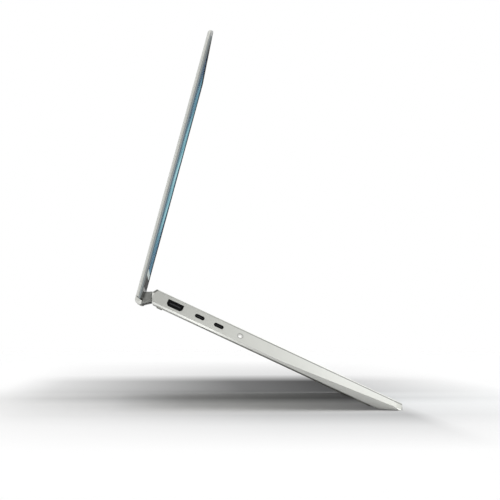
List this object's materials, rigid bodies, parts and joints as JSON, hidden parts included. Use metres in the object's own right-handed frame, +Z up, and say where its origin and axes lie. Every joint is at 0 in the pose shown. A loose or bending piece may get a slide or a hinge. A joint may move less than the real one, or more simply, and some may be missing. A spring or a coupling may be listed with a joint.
{
  "type": "laptop computer",
  "caption": "Laptop computer, open: thin light grey metal base and lid on a lift hinge whose lower lip raises the rear of the base; keys, touchpad, ports and cooling inside.",
  "frame": {"origin": "centre of the bounding box, at the height of the desk that the computer stands on", "axes": "+X to the user's right, +Y away from the user (hinge side), +Z up; the base stands tilted by 1.28 degrees, its rear raised by the lid's lip"},
  "size_m": [0.356, 0.292, 0.2482],
  "materials": {
    "satin_shell": "satin anodised metal, warm light grey",
    "frame_grey": "fine matt grey plastic",
    "lip_plastic": "matt light plastic",
    "hinge_grey": "matt grey plastic",
    "dark_grille": "matt dark plastic",
    "rubber_grey": "soft rubber",
    "key_plastic": "soft-touch light key plastic",
    "key_well": "satin metal",
    "membrane": "silicone",
    "steel_plate": "plain steel sheet",
    "pad_glass": "fine matt glass",
    "steel_dark": "dark steel",
    "board_green": "circuit board",
    "chip_black": "moulded chips",
    "copper": "copper",
    "fin_metal": "thin fins",
    "fan_plastic": "black plastic",
    "cell_foil": "battery cells in dark foil",
    "battery_frame": "black plastic",
    "speaker_box": "black plastic",
    "socket_metal": "dark plated steel",
    "lamp_window": "clear light guide",
    "screw_steel": "steel",
    "cover_glass": "cover glass",
    "picture_panel": "lit display",
    "camera_black": "camera module",
    "cable_black": "flat cable"
  },
  "bodies": {
    "base": {"top_case": "satin_shell", "bottom_cover": "satin_shell", "exhaust_grille": "dark_grille", "front_feet": "rubber_grey", "rear_feet": "rubber_grey", "cover_screws": "screw_steel", "keyboard_frame": "key_well", "keyboard_sheet": "membrane", "keyboard_plate": "steel_plate", "touchpad_tray": "steel_plate", "hinge_bracket_left": "steel_dark", "hinge_bracket_right": "steel_dark", "main_board": "board_green", "processor": "chip_black", "heat_spreader": "copper", "heat_pipes": "copper", "fin_stacks": "fin_metal", "fan_case_left": "fan_plastic", "fan_case_right": "fan_plastic", "memory_chips": "chip_black", "drive_module": "board_green", "wireless_card": "board_green", "battery_cells": "cell_foil", "battery_frame": "battery_frame", "speaker_left": "speaker_box", "speaker_right": "speaker_box", "video_socket": "socket_metal", "usb_c_socket_rear": "socket_metal", "usb_c_socket_front": "socket_metal", "indicator_window": "lamp_window", "usb_a_socket": "socket_metal", "audio_jack": "socket_metal"},
    "lid": {"lid_shell": "satin_shell", "lid_frame": "frame_grey", "lid_lip": "lip_plastic", "lip_bumpers": "rubber_grey", "hinge_cover_left": "hinge_grey", "hinge_cover_right": "hinge_grey", "hinge_arm_left": "steel_dark", "hinge_arm_right": "steel_dark", "screen_glass": "cover_glass", "display_panel": "picture_panel", "camera_module": "camera_black", "lid_cable": "cable_black"},
    "keys_function": {"keys_function": "key_plastic"},
    "keys_number": {"keys_number": "key_plastic"},
    "keys_upper": {"keys_upper": "key_plastic"},
    "keys_home": {"keys_home": "key_plastic"},
    "keys_lower": {"keys_lower": "key_plastic"},
    "keys_modifier": {"keys_modifier": "key_plastic"},
    "space_bar": {"space_bar": "key_plastic"},
    "keys_arrow": {"keys_arrow": "key_plastic"},
    "power_key": {"power_key": "key_plastic"},
    "touchpad": {"touchpad": "pad_glass"},
    "fan_rotor_left": {"fan_rotor_left": "fan_plastic"},
    "fan_rotor_right": {"fan_rotor_right": "fan_plastic"}
  },
  "joints": [
    {"name": "lid_hinge", "type": "hinge", "parent": "base", "child": "lid", "pos_m": [0, 0.09741, 0.01114], "axis": [-1, 0, 0], "range_deg": [-99.9, 44.7]},
    {"name": "function_keys_press", "type": "slide", "parent": "base", "child": "keys_function", "axis": [0, 0.0223, -0.9998], "range_m": [0, 0.0013], "stiffness_N_per_m": 6300},
    {"name": "number_keys_press", "type": "slide", "parent": "base", "child": "keys_number", "axis": [0, 0.0223, -0.9998], "range_m": [0, 0.0013], "stiffness_N_per_m": 6300},
    {"name": "upper_keys_press", "type": "slide", "parent": "base", "child": "keys_upper", "axis": [0, 0.0223, -0.9998], "range_m": [0, 0.0013], "stiffness_N_per_m": 6300},
    {"name": "home_keys_press", "type": "slide", "parent": "base", "child": "keys_home", "axis": [0, 0.0223, -0.9998], "range_m": [0, 0.0013], "stiffness_N_per_m": 5850},
    {"name": "lower_keys_press", "type": "slide", "parent": "base", "child": "keys_lower", "axis": [0, 0.0223, -0.9998], "range_m": [0, 0.0013], "stiffness_N_per_m": 5400},
    {"name": "modifier_keys_press", "type": "slide", "parent": "base", "child": "keys_modifier", "axis": [0, 0.0223, -0.9998], "range_m": [0, 0.0013], "stiffness_N_per_m": 2700},
    {"name": "space_bar_press", "type": "slide", "parent": "base", "child": "space_bar", "axis": [0, 0.0223, -0.9998], "range_m": [0, 0.0013], "stiffness_N_per_m": 450},
    {"name": "arrow_keys_press", "type": "slide", "parent": "base", "child": "keys_arrow", "axis": [0, 0.0223, -0.9998], "range_m": [0, 0.0013], "stiffness_N_per_m": 1800},
    {"name": "power_key_press", "type": "slide", "parent": "base", "child": "power_key", "axis": [0, 0.0223, -0.9998], "range_m": [0, 0.001], "stiffness_N_per_m": 900},
    {"name": "touchpad_click", "type": "hinge", "parent": "base", "child": "touchpad", "pos_m": [0, -0.0407, 0.01457], "axis": [1, 0, 0], "range_deg": [0, 0.24], "stiffness_Nm_per_rad": 34},
    {"name": "fan_left_spin", "type": "hinge", "parent": "base", "child": "fan_rotor_left", "pos_m": [-0.07, 0.03943, 0.00985], "axis": [0, -0.0223, 0.9998], "continuous": true},
    {"name": "fan_right_spin", "type": "hinge", "parent": "base", "child": "fan_rotor_right", "pos_m": [0.07, 0.03943, 0.00985], "axis": [0, -0.0223, 0.9998], "continuous": true}
  ]
}
